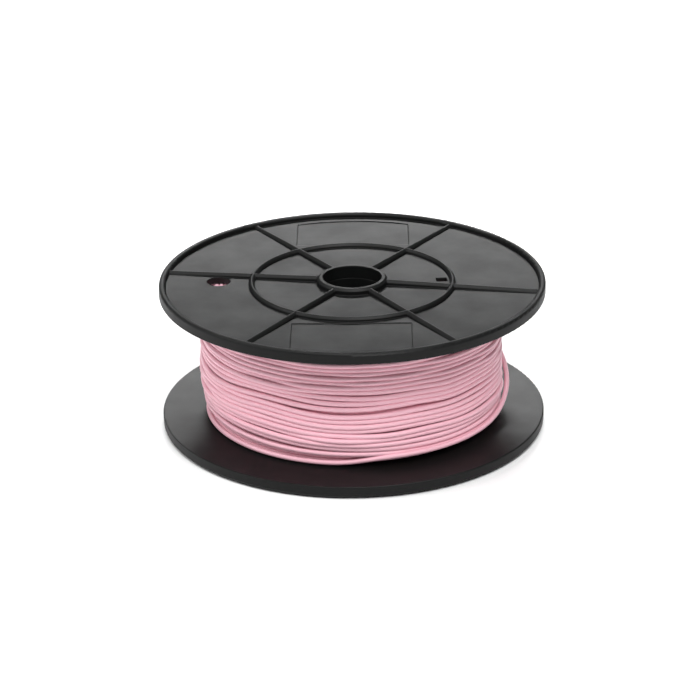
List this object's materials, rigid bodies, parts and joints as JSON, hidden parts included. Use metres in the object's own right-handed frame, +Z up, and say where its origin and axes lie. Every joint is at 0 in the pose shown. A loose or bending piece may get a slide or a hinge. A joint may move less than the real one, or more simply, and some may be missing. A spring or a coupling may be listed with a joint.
{
  "type": "wire reel",
  "caption": "Moulded plastic reel with ribbed flanges and a spindle bore, wound full with insulated hook-up wire.",
  "frame": {"origin": "centre of the lower hub collar's end face, on the reel's axis", "axes": "+Z up along the reel's axis, +X to the right in the pictured view, +Y away from the viewer"},
  "size_m": [0.125, 0.125, 0.0495],
  "materials": {
    "reel_plastic": "black moulded polystyrene with a fine spark-eroded texture",
    "wire_insulation": "opaque pink extruded insulation, satin"
  },
  "bodies": {
    "root": {"lower_flange": "reel_plastic", "upper_flange": "reel_plastic", "core": "reel_plastic", "wire_inner_layers": "wire_insulation", "wire_outer_layer": "wire_insulation"}
  },
  "joints": []
}
